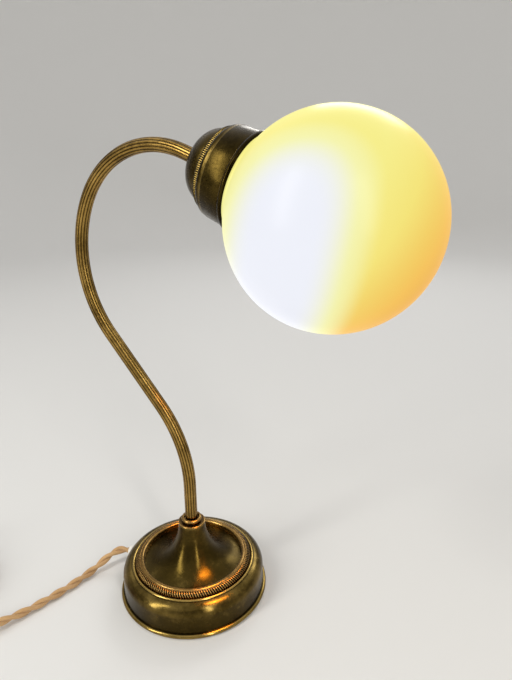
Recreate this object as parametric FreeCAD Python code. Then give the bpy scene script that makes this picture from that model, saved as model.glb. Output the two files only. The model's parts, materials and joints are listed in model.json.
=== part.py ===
import FreeCAD, Part
import math
import os

# Table lamp with an opal glass globe on a reeded brass swan neck.
# Millimetres, +Z up. The origin is the centre of the base on the table, and the neck and the
# globe lie in the XZ plane, the globe towards +X.

V = FreeCAD.Vector
Z_AXIS = V(0, 0, 1)

# ---- general fits ----
sheet = 0.8            # spun brass sheet of the base and the cup
slip = 0.1             # clearance of fixed pieces on each other
running = 0.35         # air between pieces that move against each other

# ---- base ----
foot_radius = 64.0
foot_bead = 3.6        # diameter of the rolled bead round the foot
foot_lift = 0.4        # the bead's underside above the table
foot_overhang = 2.7    # how far the foot bead stands out from the wall
wall_radius = foot_radius - foot_overhang
shoulder_radius = 8.9
ledge_height = 27.2    # top of the ledge that carries the milled ring
top_bead = 2.2
bead_gap = 0.6         # groove between the shell's top bead and the milled ring
ring_outer = wall_radius - 11.1
ring_width = 7.8
ring_height = 5.8
ring_lip = 3.6         # width of the milled ring's smooth inner lip
ledge_bore = ring_outer - 12.2
flange_lap = 1.7       # how far the trumpet's flange runs in under the milled ring
flare_start = ring_outer - ring_width - 1.4  # radius where the trumpet starts to rise
throat_radius = 11.4
throat_height = 65.0
felt_thickness = 2.0
felt_radius = wall_radius - 2.8
plate_thickness = 1.2
weight_radius = wall_radius - shoulder_radius - 0.5
weight_bottom = 6.0
pocket_radius = 17.0
pocket_roof = 21.5
post_radius = 4.0
post_circle = weight_radius - 7.5
post_count = 3
plate_screw = 3.0
plate_screw_length = 8.0
screw_head = 6.0

# ---- neck ----
tube_crest = 10.4      # outside diameter over the reeds
tube_root = 9.5
tube_bore = 7.6
reed_count = 14
spigot = 9.6           # turned and threaded ends of the tube
tube_bottom = 15.0
neck_rise = 100.0      # height where the neck leaves the vertical
lean_radius = 105.0
lean_angle = 41.0
lean_run = 72.5
crook_low_radius = 95.0
crook_low_angle = 70.0
crook_top_radius = 76.5
head_dip = 21.0        # the head points this far below the horizontal
head_run = 12.6
head_spigot = 9.0
collar_lip = 17.4
collar_height = 5.0
collar_flange = 1.0
collar_spigot = 3.0
collar_recess = 2.0
collar_recess_width = 13.0
nut_width = 14.0
nut_height = 4.0
washer_radius = 9.5
washer_thickness = 1.2
flex_dia = 5.2         # two-core flex inside the lamp

# ---- cup: sizes along its own axis, from the outside of the dome's flat ----
dome_flat = 7.0
dome_radius = 25.7
dome_depth = 15.9
cup_ring_depth = 3.2
cup_ring_outer = 27.2
cup_ring_width = 2.8
skirt_back = 27.6      # radius where the skirt's back turns into its shoulder
skirt_shoulder = 31.3
skirt_shoulder_depth = 3.9
skirt_mouth = 32.5
skirt_depth = 20.5     # from the back's outside to the groove behind the lip
lip_groove = 0.7
lip_radius = 34.2
lip_depth = 4.1

# ---- lamp holder ----
holder_radius = 14.0
holder_wall = 1.6
holder_neck = 6.6
holder_neck_depth = 4.2
holder_cap_depth = 13.2
holder_barrel_depth = 30.0
holder_flange = 16.5
holder_flange_depth = 1.5
shade_ring_radius = 18.0
shade_ring_depth = 3.5
insulator_depth = 7.8
socket_wall = 0.5
socket_depth = 20.5
contact_height = 1.4
terminal_screw = 3.0
terminal_spacing = 16.0

# ---- bulb: small screw cap and golf-ball glass ----
cap_radius = 6.95
cap_depth = 18.4
cap_flare = 9.6
cap_flare_depth = 2.0
vitrite_depth = 1.4
tip_depth = 0.8
tip_radius = 2.4
bulb_radius = 22.5
bulb_glass_length = 52.4
bulb_wall = 0.8
bulb_neck_length = 3.5
bulb_seat = 1.4        # air between the bulb's tip and the floor of the socket

# ---- globe ----
globe_radius = 68.0
globe_wall = 2.2
globe_neck = 28.5
globe_seat = 42.96      # where ball and neck would meet, measured as the cup is
globe_distance = globe_seat + math.sqrt(globe_radius**2 - globe_neck**2)
globe_neck_end = 24.8   # end of the glass neck, measured as the cup is
globe_fillet = 4.0
thread_ring_wall = 1.3
thread_ring_depth = 12.0
thread_ring_start = 24.0
seal_width = 2.1
seal_depth = 2.6
globe_travel = 110.0
bulb_travel = 28.0

# ---- cord ----
cord_dia = 7.0
gland_azimuth = 189.0
gland_height = 15.5
gland_flange = 12.4
gland_flange_depth = 1.8
gland_body = 9.8
gland_reach = wall_radius + 4.7   # radius of the gland's outer face
gland_inner = wall_radius - 5.3
gland_nut = 12.0
gland_nut_depth = 2.5
clamp_radius_at = weight_radius - 10.0
clamp_length = 8.0
clamp_bottom = 10.0
channel_width = 12.0
flex_low = 7.6          # height of the flex where it crosses to the middle of the base
flex_drop_outer = clamp_radius_at - 7.9   # the flex runs level as far as here from the clamp
flex_drop_inner = flex_drop_outer - 12.0
flex_bend = 7.4
flex_easy_bend = 12.0

coil_centre = V(-198, -128, 0)
coil_outer = 47.6       # radius of the outermost turn's centre line
coil_pitch = 7.7
layer_gap = 7.6
coil_low = 4.6
layer_turns = 2.5
tie_width = 9.0
tie_thickness = 0.8
tie_slack = 0.5

switch_centre = V(-134, -156, 0)
switch_azimuth = 235.0
switch_length = 60.0
switch_width = 24.0
switch_height = 14.0
switch_wall = 1.8
switch_corner = 9.0
switch_edge = 2.5
rocker_length = 19.0
rocker_width = 10.6
rocker_end_height = 5.6
rocker_middle_height = 4.3
rocker_foot = 1.6
rocker_tilt = 12.0
rocker_gap = 0.5
pin_radius = 1.0
pin_fit = 0.05
pin_height = 9.4
ear_radius = 2.4
switch_screw = 3.0
switch_screw_spread = 44.0
terminal_block = V(9, 6, 4.5)
terminal_spread = 28.0

plug_width = 35.0
plug_thickness = 13.7
plug_length = 37.0
plug_straight = 12.0
plug_tail_width = 14.0
plug_tail_thickness = 11.0
plug_round = 5.4
sleeve_length = 20.0
sleeve_wall = 1.6
pin_dia = 4.0
pin_length = 19.0
pin_spacing = 18.6
pin_insulated = 10.0
pin_core = 3.0
pin_root = 8.0

os.makedirs("parts", exist_ok=True)


# ---- tools ----
def save(shape, name):
    shape.exportStep("parts/" + name + ".step")


def line(a, b):
    return Part.LineSegment(a, b).toShape()


def biarc(p0, t0, p1, t1):
    """Two tangent arcs from p0 to p1 with the given directions at their ends."""
    v, t = p1 - p0, t0 + t1
    a = 2 * (1 - t0.dot(t1))
    b = 2 * v.dot(t)
    c = -v.dot(v)
    d = -c / b if abs(a) < 1e-9 else (-b + math.sqrt(b * b - 4 * a * c)) / (2 * a)
    joint = (p0 + p1 + (t0 - t1) * d) * 0.5

    def arc(start, direction, end):
        chord = end - start
        along = chord * (1 / chord.Length)
        bulge = direction - along * direction.dot(along)
        if bulge.Length < 1e-7:
            return line(start, end)
        half = direction.getAngle(along) / 2
        middle = (start + end) * 0.5 + bulge.normalize() * (chord.Length / 2 * math.tan(half))
        return Part.Arc(start, middle, end).toShape()

    return [arc(p0, t0, joint), arc(joint, (joint - p0).normalize() * 2 * (joint - p0).normalize().dot(t0)
                                    - t0, p1)]


def rounded(a, corner, b):
    """Bend from a to b, tangent to both lines that meet at the corner: one arc or two."""
    into, out = (corner - a).normalize(), (b - corner).normalize()
    if abs((corner - a).Length - (b - corner).Length) > 1e-6:
        return biarc(a, into, b, out)
    chord = (a + b) * 0.5
    rise = (b - a).Length / 2 * math.tan(into.getAngle(out) / 4)
    return [Part.Arc(a, chord + (corner - chord).normalize() * rise, b).toShape()]


def section(start, *moves):
    """Face in the XZ half plane. A move is one point for a line or (corner, point) for a bend."""
    edges = []
    here = V(start[0], 0, start[1])
    first = here
    for move in moves:
        if isinstance(move[0], tuple):
            end = V(move[1][0], 0, move[1][1])
            edges += rounded(here, V(move[0][0], 0, move[0][1]), end)
        else:
            end = V(move[0], 0, move[1])
            edges.append(line(here, end))
        here = end
    if here.distanceToPoint(first) > 1e-6:
        edges.append(line(here, first))
    return Part.Face(Part.Wire(edges))


def turned(start, *moves):
    return section(start, *moves).revolve(V(0, 0, 0), Z_AXIS, 360)


def ring(inner, outer, low, high):
    return turned((inner, low), (outer, low), (outer, high), (inner, high))


def rod(radius, low, high, at=V(0, 0, 0)):
    return Part.makeCylinder(radius, high - low, at + V(0, 0, low))


def block(length, width, low, high, at=V(0, 0, 0)):
    return Part.makeBox(length, width, high - low, at + V(-length / 2, -width / 2, low))


def hexagon(width, low, high):
    corner = width / 2 / math.cos(math.pi / 6)
    points = [V(corner * math.cos(math.radians(60 * i)), corner * math.sin(math.radians(60 * i)), low)
              for i in range(7)]
    return Part.Face(Part.makePolygon(points)).extrude(V(0, 0, high - low))


def slab(length, width, radius, height):
    """Wire of a rectangle with round corners, in the plane z = height."""
    x, y = length / 2, width / 2
    corners = [V(x, y, height), V(-x, y, height), V(-x, -y, height), V(x, -y, height)]
    edges = []
    for i in range(4):
        before, here, after = corners[i - 1], corners[i], corners[(i + 1) % 4]
        start = here + (before - here).normalize() * radius
        end = here + (after - here).normalize() * radius
        edges += rounded(start, here, end)
        edges.append(line(end, after + (here - after).normalize() * radius))
    return Part.Wire(edges)


def walk(start, heading, moves):
    """Edges of a path in the XZ plane. A move is (length,) or (radius, angle), left positive."""
    edges = []
    here, angle = start, math.radians(heading)
    for move in moves:
        if len(move) == 1:
            end = here + V(math.cos(angle), 0, math.sin(angle)) * move[0]
            edges.append(line(here, end))
        else:
            side = math.copysign(1, move[1])
            turn = math.radians(move[1])
            centre = here + V(-math.sin(angle), 0, math.cos(angle)) * move[0] * side

            def on_arc(share):
                at = angle + turn * share
                return centre - V(-math.sin(at), 0, math.cos(at)) * move[0] * side

            end = on_arc(1)
            edges.append(Part.Arc(here, on_arc(0.5), end).toShape())
            angle += turn
        here = end
    return edges, here, math.degrees(angle)


def fillet_path(points, radii):
    """Straight runs through the points, joined by tangent arcs of the given radii."""
    edges = []
    here = points[0]
    for before, corner, after, radius in zip(points, points[1:], points[2:], radii):
        back = (before - corner).normalize()
        on = (after - corner).normalize()
        half = back.getAngle(on) / 2
        reach = radius / math.tan(half)
        start, end = corner + back * reach, corner + on * reach
        middle = corner + (back + on).normalize() * (radius / math.sin(half) - radius)
        edges += [line(here, start), Part.Arc(start, middle, end).toShape()]
        here = end
    return edges + [line(here, points[-1])]


def pipe(edges, radius):
    """Round bar along a path of tangent edges."""
    path = Part.Wire(edges)
    start = edges[0].valueAt(edges[0].FirstParameter)
    along = edges[0].tangentAt(edges[0].FirstParameter)
    circle = Part.Wire(Part.makeCircle(radius, start, along))
    return path.makePipeShell([circle], True, False)


def cord_tube(points, name):
    """Plain tube along a hand-chosen route, with arcs as large as the runs allow."""
    radii = []
    for before, corner, after in zip(points, points[1:], points[2:]):
        turn = (corner - before).getAngle(after - corner)
        shorter = min((corner - before).Length, (after - corner).Length)
        radii.append(0.45 * shorter / math.tan(turn / 2))
    tube = pipe(fillet_path(points, radii), cord_dia / 2)
    length = tube.Volume / (math.pi * cord_dia**2 / 4)
    print(name, "length", round(length, 1), "radii", [round(r, 1) for r in radii])
    return tube


# ---- base ----
wall_inner = wall_radius - sheet
shoulder_low = ledge_height + 0.7 - shoulder_radius
shoulder_top = wall_radius - shoulder_radius
bead_inner = ring_outer + bead_gap
ledge_under = ledge_height - sheet


def base_shell():
    bead_top = foot_lift + foot_bead
    foot_mid = foot_lift + foot_bead / 2
    crown = shoulder_low + shoulder_radius
    bead_outer = bead_inner + top_bead
    bead_mid = bead_inner + top_bead / 2
    shell = turned(
        (wall_inner, foot_lift),
        (foot_radius - foot_bead / 2, foot_lift),
        ((foot_radius, foot_lift), (foot_radius, foot_mid)),
        ((foot_radius, bead_top), (foot_radius - foot_bead / 2, bead_top)),
        (wall_radius, bead_top),
        (wall_radius, shoulder_low),
        ((wall_radius, crown), (shoulder_top + 0.8, crown)),
        (bead_outer, crown),
        ((bead_outer, crown + top_bead / 2), (bead_mid, crown + top_bead / 2)),
        ((bead_inner, crown + top_bead / 2), (bead_inner, crown)),
        (bead_inner, ledge_height),
        (ledge_bore, ledge_height),
        (ledge_bore, ledge_under),
        (shoulder_top, ledge_under),
        ((wall_inner, ledge_under), (wall_inner, shoulder_low)),
    )
    return shell.cut(radial_rod(gland_body / 2 + slip, gland_inner, gland_reach))


def radial_rod(radius, start, end):
    """Round bar along the cord gland's axis, from one radius of the base to another."""
    bar = Part.makeCylinder(radius, end - start, V(start, 0, gland_height), V(1, 0, 0))
    bar.rotate(V(0, 0, 0), Z_AXIS, gland_azimuth)
    return bar


def base_milled_ring():
    inner = ring_outer - ring_width
    top = ledge_height + ring_height
    lip = inner + ring_lip
    rebate = inner + flange_lap
    return turned(
        (inner, ledge_height + sheet),
        (rebate, ledge_height + sheet),
        (rebate, ledge_height),
        (ring_outer, ledge_height),
        (ring_outer, ledge_height + 1.6),
        ((ring_outer, top - 0.5), (lip + 0.3, top - 0.5)),
        (lip, top - 0.9),
        ((lip, top), (lip - ring_lip / 2, top)),
        ((inner, top), (inner, top - ring_lip / 2)),
    )


def base_trumpet():
    flange = ring_outer - ring_width + flange_lap - slip
    foot = ledge_height + sheet
    return turned(
        (flange, ledge_height),
        (flange, foot),
        (flare_start, foot),
        ((throat_radius, foot), (throat_radius, throat_height)),
        (throat_radius - sheet, throat_height),
        ((throat_radius - sheet, ledge_height), (flare_start, ledge_height)),
    )


def post_places():
    step = 360 / post_count
    angles = [math.radians(gland_azimuth + step * (i + 0.5)) for i in range(post_count)]
    return [V(post_circle * math.cos(a), post_circle * math.sin(a), 0) for a in angles]


plate_top = felt_thickness + plate_thickness


def base_weight():
    body = rod(weight_radius, weight_bottom, ledge_under)
    for place in post_places():
        body = body.fuse(rod(post_radius, plate_top, weight_bottom, place))
        body = body.cut(rod(plate_screw / 2 + slip / 2, plate_top, felt_thickness + plate_screw_length + 1,
                            place))
    body = body.cut(rod(pocket_radius, weight_bottom, pocket_roof))
    body = body.cut(rod(spigot / 2 + slip, pocket_roof, ledge_under))
    channel = Part.makeBox(weight_radius + 2, channel_width, pocket_roof - weight_bottom,
                           V(0, -channel_width / 2, weight_bottom))
    channel.rotate(V(0, 0, 0), Z_AXIS, gland_azimuth)
    body = body.cut(channel)
    return body.removeSplitter()


def bottom_plate():
    plate = rod(wall_inner - slip, felt_thickness, plate_top)
    for place in post_places():
        plate = plate.cut(screw_shape(place, slip / 2))
    return plate


def screw_shape(place, grow=0.0):
    """Countersunk screw, head down, its face flush with the underside of the bottom plate."""
    head_depth = plate_thickness
    head = Part.makeCone(screw_head / 2 + grow, plate_screw / 2 + grow, head_depth,
                         place + V(0, 0, felt_thickness))
    shank = rod(plate_screw / 2 + grow, felt_thickness + head_depth / 2,
                felt_thickness + plate_screw_length, place)
    return head.fuse(shank).removeSplitter()


def plate_screws():
    return Part.makeCompound([screw_shape(place) for place in post_places()])


def cord_gland():
    body = radial_rod(gland_body / 2, gland_inner, gland_reach)
    flange = radial_rod(gland_flange / 2, wall_radius, wall_radius + gland_flange_depth)
    return body.fuse(flange).cut(radial_rod(flex_dia / 2 + slip, gland_inner, gland_reach)).removeSplitter()


def gland_nut_ring():
    sag = wall_inner - math.sqrt(wall_inner**2 - (gland_nut / 2) ** 2)
    outer = wall_inner - sag - slip * 4
    nut = radial_rod(gland_nut / 2, outer - gland_nut_depth, outer)
    return nut.cut(radial_rod(gland_body / 2 + slip / 2, gland_inner, gland_reach))


def cord_clamp():
    height = pocket_roof - clamp_bottom
    body = Part.makeBox(clamp_length, channel_width - 2 * slip, height,
                        V(clamp_radius_at - clamp_length / 2, slip - channel_width / 2, clamp_bottom))
    body.rotate(V(0, 0, 0), Z_AXIS, gland_azimuth)
    return body.cut(radial_rod(flex_dia / 2 + slip / 2, 0, gland_inner))


# ---- neck ----
collar_seat = throat_height + collar_flange
crook_top_angle = 90 + lean_angle - crook_low_angle + head_dip
neck_start = V(0, 0, collar_seat)
neck_moves = [
    (neck_rise - collar_seat,),
    (lean_radius, lean_angle),
    (lean_run,),
    (crook_low_radius, -crook_low_angle),
    (crook_top_radius, -crook_top_angle),
    (head_run,),
]
neck_edges, neck_end, neck_heading = walk(neck_start, 90, neck_moves)
head = FreeCAD.Placement(neck_end, FreeCAD.Rotation(V(0, 1, 0), 90 - neck_heading))
head_axis = head.Rotation.multVec(Z_AXIS)


def reeded_outline():
    """Outline of the tube: convex reeds that meet in sharp grooves."""
    edges = []
    for i in range(reed_count):
        places = []
        for share, radius in ((0, tube_root / 2), (0.5, tube_crest / 2), (1, tube_root / 2)):
            angle = 2 * math.pi * (i + share) / reed_count
            places.append(neck_start + V(radius * math.cos(angle), radius * math.sin(angle), 0))
        edges.append(Part.Arc(*places).toShape())
    return Part.Wire(edges)


def neck_tube():
    bar = Part.Wire(neck_edges).makePipeShell([reeded_outline()], True, False)
    low = rod(spigot / 2, tube_bottom, collar_seat)
    high = rod(spigot / 2, 0, head_spigot)
    high.Placement = head
    bore_edges = [line(V(0, 0, tube_bottom - 1), neck_start)] + neck_edges
    bore_edges.append(line(neck_end, neck_end + head_axis * (head_spigot + 1)))
    tube = bar.fuse([low, high]).cut(pipe(bore_edges, tube_bore / 2))
    expected = bar.Volume + low.Volume + high.Volume
    print("neck volume", round(tube.Volume), "of", round(expected), "before boring")
    return tube


def neck_collar():
    lip = collar_lip / 2
    top = collar_seat + collar_height - collar_flange
    neck = lip - 0.8
    roll = 1.5
    seat = collar_seat
    return turned(
        (spigot / 2 + slip, throat_height - collar_spigot),
        (throat_radius - sheet - slip, throat_height - collar_spigot),
        (throat_radius - sheet - slip, throat_height),
        (throat_radius - 0.5, throat_height),
        ((throat_radius, throat_height), (throat_radius, throat_height + collar_flange / 2)),
        ((throat_radius, collar_seat), (throat_radius - 0.5, collar_seat)),
        (neck, collar_seat),
        (neck, top - 2 * roll),
        ((lip, top - 2 * roll), (lip, top - roll)),
        ((lip, top), (lip - roll, top)),
        (collar_recess_width / 2, top),
        (collar_recess_width / 2, top - collar_recess),
        (tube_crest / 2 + slip, top - collar_recess),
        (tube_crest / 2 + slip, seat),
        (spigot / 2 + slip, seat),
    )


def base_washer():
    return ring(spigot / 2 + slip, washer_radius, pocket_roof - washer_thickness, pocket_roof)


def base_locknut():
    top = pocket_roof - washer_thickness
    return hexagon(nut_width, top - nut_height, top).cut(rod(spigot / 2 + slip / 2, top - nut_height, top))


# ---- head: everything is made along Z and then placed on the end of the neck ----
ring_start = dome_depth
back_face = ring_start + cup_ring_depth
holder_start = sheet
barrel_start = holder_start + holder_cap_depth
barrel_end = barrel_start + holder_barrel_depth
insulator_end = barrel_start + insulator_depth
bulb_tip = insulator_end + contact_height + bulb_seat
cap_start = bulb_tip + tip_depth + vitrite_depth
flare_at = cap_start + cap_depth
glass_start = flare_at + cap_flare_depth
bulb_centre = glass_start + bulb_glass_length - bulb_radius
socket_inner = cap_radius + running


def cup_dome():
    inner = dome_radius - sheet
    return turned(
        (spigot / 2 + slip, 0),
        (dome_flat, 0),
        ((dome_radius, 0), (dome_radius, dome_depth)),
        (inner, dome_depth),
        ((inner, sheet), (dome_flat, sheet)),
        (spigot / 2 + slip, sheet),
    )


def cup_milled_ring():
    step = 0.8
    outer = cup_ring_outer
    inner = outer - cup_ring_width
    end = back_face
    return turned(
        (inner, ring_start),
        (outer - step, ring_start),
        (outer - step, ring_start + step),
        (outer - 0.2, ring_start + step),
        ((outer, ring_start + step), (outer, ring_start + step + 0.6)),
        (outer, end - 0.6),
        ((outer, end), (outer - 0.3, end)),
        (inner, end),
    )


def cup_skirt():
    bend = back_face + skirt_shoulder_depth
    groove = back_face + skirt_depth
    lip = groove + lip_groove
    end = groove + lip_depth
    wall = sheet + 0.1
    return turned(
        (holder_radius + 2 * slip, back_face),
        (skirt_back, back_face),
        ((skirt_shoulder, back_face), (skirt_shoulder, bend)),
        (skirt_mouth, groove),
        (skirt_mouth - lip_groove / 2, groove),
        (skirt_mouth - lip_groove / 2, lip),
        (skirt_mouth + 0.3, lip),
        ((lip_radius, lip), (lip_radius, end - 1.6)),
        ((lip_radius, end), (lip_radius - 1.1, end)),
        (lip_radius - 1.5, end),
        (skirt_mouth - wall, groove),
        (skirt_shoulder - wall, bend),
        ((skirt_shoulder - wall, back_face + wall), (skirt_back, back_face + wall)),
        (holder_radius + 2 * slip, back_face + wall),
    )


def holder_cap():
    outer = holder_radius
    inner = outer - holder_wall
    neck_end_depth = holder_start + holder_neck_depth
    end = barrel_start
    return turned(
        (spigot / 2 + slip / 2, holder_start),
        (holder_neck, holder_start),
        (holder_neck, neck_end_depth),
        ((outer, neck_end_depth), (outer, end - 2.5)),
        (outer, end),
        (inner, end),
        (inner, end - 2.5),
        ((inner, neck_end_depth + holder_wall), (spigot / 2 + slip / 2, neck_end_depth + holder_wall)),
    )


def holder_barrel():
    outer = holder_radius
    inner = outer - holder_wall
    mouth = socket_inner + socket_wall + slip
    flange_start = back_face - holder_flange_depth
    return turned(
        (inner, barrel_start),
        (outer, barrel_start),
        (outer, flange_start),
        (holder_flange, flange_start),
        (holder_flange, back_face),
        (outer, back_face),
        (outer, barrel_end - 1.5),
        ((outer, barrel_end), (outer - 1.5, barrel_end)),
        (mouth, barrel_end),
        (mouth, barrel_end - holder_wall),
        (inner, barrel_end - holder_wall),
    )


def shade_ring():
    start = back_face + sheet + 0.1
    return turned(
        (holder_radius + slip, start),
        (shade_ring_radius, start),
        (shade_ring_radius, start + shade_ring_depth - 0.8),
        (shade_ring_radius - 0.8, start + shade_ring_depth),
        (holder_radius + slip, start + shade_ring_depth),
    )


def holder_insulator():
    body = rod(holder_radius - holder_wall - slip, barrel_start, insulator_end)
    for side in (-1, 1):
        at = V(0, side * terminal_spacing / 2, 0)
        body = body.cut(rod(terminal_screw / 2 + slip / 2, barrel_start, barrel_start + insulator_depth / 2,
                            at))
    return body


def terminal_screws():
    screws = []
    for side in (-1, 1):
        at = V(0, side * terminal_spacing / 2, 0)
        shank = rod(terminal_screw / 2, barrel_start, barrel_start + insulator_depth / 2, at)
        screw = shank.fuse(rod(terminal_screw * 0.85, barrel_start - 1.4, barrel_start, at))
        screws.append(screw)
    return Part.makeCompound(screws)


def socket_shell():
    wall = socket_inner + socket_wall
    return ring(socket_inner, wall, insulator_end, insulator_end + socket_depth)


def socket_contact():
    strip = block(9.0, 3.6, insulator_end, insulator_end + 0.5)
    dome = rod(tip_radius, insulator_end, insulator_end + contact_height)
    return strip.fuse(dome).removeSplitter()


def bulb_cap():
    inner = cap_radius - 0.4
    return turned(
        (tip_radius, cap_start),
        (cap_radius - 0.8, cap_start),
        (cap_radius, cap_start + 0.8),
        (cap_radius, flare_at),
        (cap_flare, flare_at + cap_flare_depth * 0.6),
        (cap_flare, glass_start),
        (cap_flare - 0.8, glass_start),
        (inner, flare_at),
        (inner, cap_start + 1.2),
        (tip_radius, cap_start + 1.2),
    )


def bulb_insulator():
    return turned(
        (0, bulb_tip + tip_depth),
        (tip_radius + 0.4, bulb_tip + tip_depth),
        (cap_radius - 0.9, cap_start),
        (tip_radius, cap_start),
        (tip_radius, cap_start + 1.2),
        (0, cap_start + 1.2),
    )


def bulb_contact():
    return turned(
        (0, bulb_tip),
        (tip_radius - 0.8, bulb_tip),
        ((tip_radius, bulb_tip), (tip_radius, bulb_tip + tip_depth)),
        (0, bulb_tip + tip_depth),
    )


def bulb_skin(shrink):
    """Outline of the golf-ball glass: neck, cone and ball, the cone tangent to the ball."""
    radius = bulb_radius - shrink
    neck = cap_flare - shrink
    cone_at = glass_start + bulb_neck_length
    reach = math.hypot(neck, bulb_centre - cone_at)
    lean = math.atan2(neck, bulb_centre - cone_at)
    touch = lean + math.acos(radius / reach)
    ball_low = V(radius * math.sin(touch), 0, bulb_centre - radius * math.cos(touch))
    side = (touch + math.pi) / 2
    ball_side = V(radius * math.sin(side), 0, bulb_centre - radius * math.cos(side))
    top = V(0, 0, bulb_centre + radius)
    edges = [
        line(V(0, 0, glass_start), V(neck, 0, glass_start)),
        line(V(neck, 0, glass_start), V(neck, 0, cone_at)),
        line(V(neck, 0, cone_at), ball_low),
        Part.Arc(ball_low, ball_side, top).toShape(),
        line(top, V(0, 0, glass_start)),
    ]
    return Part.Face(Part.Wire(edges)).revolve(V(0, 0, 0), Z_AXIS, 360)


def bulb_glass():
    return bulb_skin(0).cut(bulb_skin(bulb_wall))


def globe_skin(radius, neck, fillet_out):
    """Solid of the globe's outside or inside: round neck, small fillet and ball."""
    centre = globe_distance
    join = neck + fillet_out
    join_at = centre - math.sqrt(radius**2 - join**2)
    corner_at = centre - math.sqrt(radius**2 - neck**2)
    start = V(neck, 0, corner_at - globe_fillet)
    end = V(join, 0, join_at)
    side = (math.pi + math.asin(join / radius)) / 2
    ball_side = V(radius * math.sin(side), 0, centre - radius * math.cos(side))
    top = V(0, 0, centre + radius)
    edges = [
        line(V(0, 0, globe_neck_end), V(neck, 0, globe_neck_end)),
        line(V(neck, 0, globe_neck_end), start),
        *rounded(start, V(neck, 0, corner_at), end),
        Part.Arc(end, ball_side, top).toShape(),
        line(top, V(0, 0, globe_neck_end)),
    ]
    return Part.Face(Part.Wire(edges)).revolve(V(0, 0, 0), Z_AXIS, 360)


def globe():
    outside = globe_skin(globe_radius, globe_neck, globe_fillet)
    inside = globe_skin(globe_radius - globe_wall, globe_neck - globe_wall, globe_fillet)
    return outside.cut(inside)


def globe_thread_ring():
    inner = globe_neck + running
    return ring(inner, inner + thread_ring_wall, thread_ring_start, thread_ring_start + thread_ring_depth)


def globe_seal():
    inner = globe_neck + running
    start = thread_ring_start + thread_ring_depth + running
    return turned(
        (inner, start),
        (inner + seal_width - 0.5, start),
        ((inner + seal_width, start), (inner + seal_width, start + 0.6)),
        (inner + seal_width, start + seal_depth - 0.6),
        ((inner + seal_width, start + seal_depth), (inner + seal_width - 0.5, start + seal_depth)),
        (inner, start + seal_depth),
    )


# ---- flex inside the lamp: gland, base, neck and lamp holder ----
def inner_flex():
    out = V(math.cos(math.radians(gland_azimuth)), math.sin(math.radians(gland_azimuth)), 0)
    level = V(0, 0, gland_height)
    low = V(0, 0, flex_low)
    points = [out * gland_reach + level, out * flex_drop_outer + level, out * flex_drop_inner + low,
              low, V(0, 0, collar_seat)]
    edges = fillet_path(points, [flex_easy_bend, flex_easy_bend, flex_bend])
    edges += neck_edges
    edges.append(line(neck_end, neck_end + head_axis * (barrel_start - slip)))
    flex = pipe(edges, flex_dia / 2)
    length = sum(edge.Length for edge in edges)
    ratio = flex.Volume / (length * math.pi * flex_dia**2 / 4)
    print("inner flex", round(length), "mm, volume ratio", round(ratio, 4))
    return flex


# ---- cord outside the lamp: the routes are chosen by hand, cord centre line ----
out_x = math.cos(math.radians(gland_azimuth))
out_y = math.sin(math.radians(gland_azimuth))
switch_along = V(math.cos(math.radians(switch_azimuth)), math.sin(math.radians(switch_azimuth)), 0)
switch_mid = V(0, 0, switch_height / 2)
switch_entry = switch_centre - switch_along * (switch_length / 2) + switch_mid
switch_exit = switch_centre + switch_along * (switch_length / 2) + switch_mid
gland_exit = V(out_x * gland_reach, out_y * gland_reach, gland_height)
lead_route = [
    gland_exit,
    gland_exit + V(out_x * 7.8, out_y * 7.8, 0),
    V(-80.3, -15.2, 14.3),
    V(-86.3, -21.2, 12.1),
    V(-90.2, -29.2, 9.0),
    V(-91.7, -40.0, 5.2),
    V(-92.2, -56.5, 3.8),
    V(-95.6, -75.0, 3.55),
    V(-100.4, -92.0, 3.7),
    V(-105.2, -108.0, 5.2),
    switch_entry - switch_along * 12,
    switch_entry,
]
coil_start = coil_centre + V(-coil_outer, 0, coil_low)
link_route = [
    switch_exit,
    switch_exit + switch_along * 12,
    V(-175.0, -200.0, 4.4),
    V(-198.0, -201.0, 3.6),
    V(-220.0, -190.5, 3.6),
    V(-236.5, -171.0, 4.0),
    coil_start + V(0, -21, 0),
    coil_start,
]
coil_high = coil_low + layer_gap
plug_height = coil_high + cord_dia / 2 + plug_thickness / 2 + 0.2
tail_start = coil_centre + V(coil_outer, 0, coil_high)
tail_route = [
    tail_start,
    coil_centre + V(coil_outer, -13, coil_high),
    coil_centre + V(43.0, -25.2, coil_high + 3.2),
    coil_centre + V(33.8, -34.4, coil_high + 7.2),
    coil_centre + V(21.2, -37.8, plug_height - 0.5),
    coil_centre + V(8.6, -35.2, plug_height),
    coil_centre + V(-1.3, -27.5, plug_height),
    coil_centre + V(-7.3, -17.1, plug_height),
]


def coil_place(angle):
    """Point and direction of the coil's centre line after turning clockwise by the angle."""
    half_way = 2 * math.pi * (layer_turns + 0.25)
    climb_start = 2 * math.pi * layer_turns
    inward = min(angle, 2 * half_way - angle)
    radius = coil_outer - coil_pitch * inward / (2 * math.pi)
    radial_rate = coil_pitch / (2 * math.pi) * (-1 if angle < half_way - 1e-6 else 1)
    share = min(max((angle - climb_start) / math.pi, 0), 1)
    height = coil_low + layer_gap * (1 - math.cos(math.pi * share)) / 2
    climb_rate = layer_gap / 2 * math.sin(math.pi * share)
    if abs(angle - half_way) < 1e-6:
        radial_rate = 0
    on = math.pi - angle
    outward = V(math.cos(on), math.sin(on), 0)
    forward = V(math.sin(on), -math.cos(on), 0)
    place = coil_centre + outward * radius + V(0, 0, height)
    return place, (outward * radial_rate + forward * radius + V(0, 0, climb_rate)).normalize()


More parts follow.
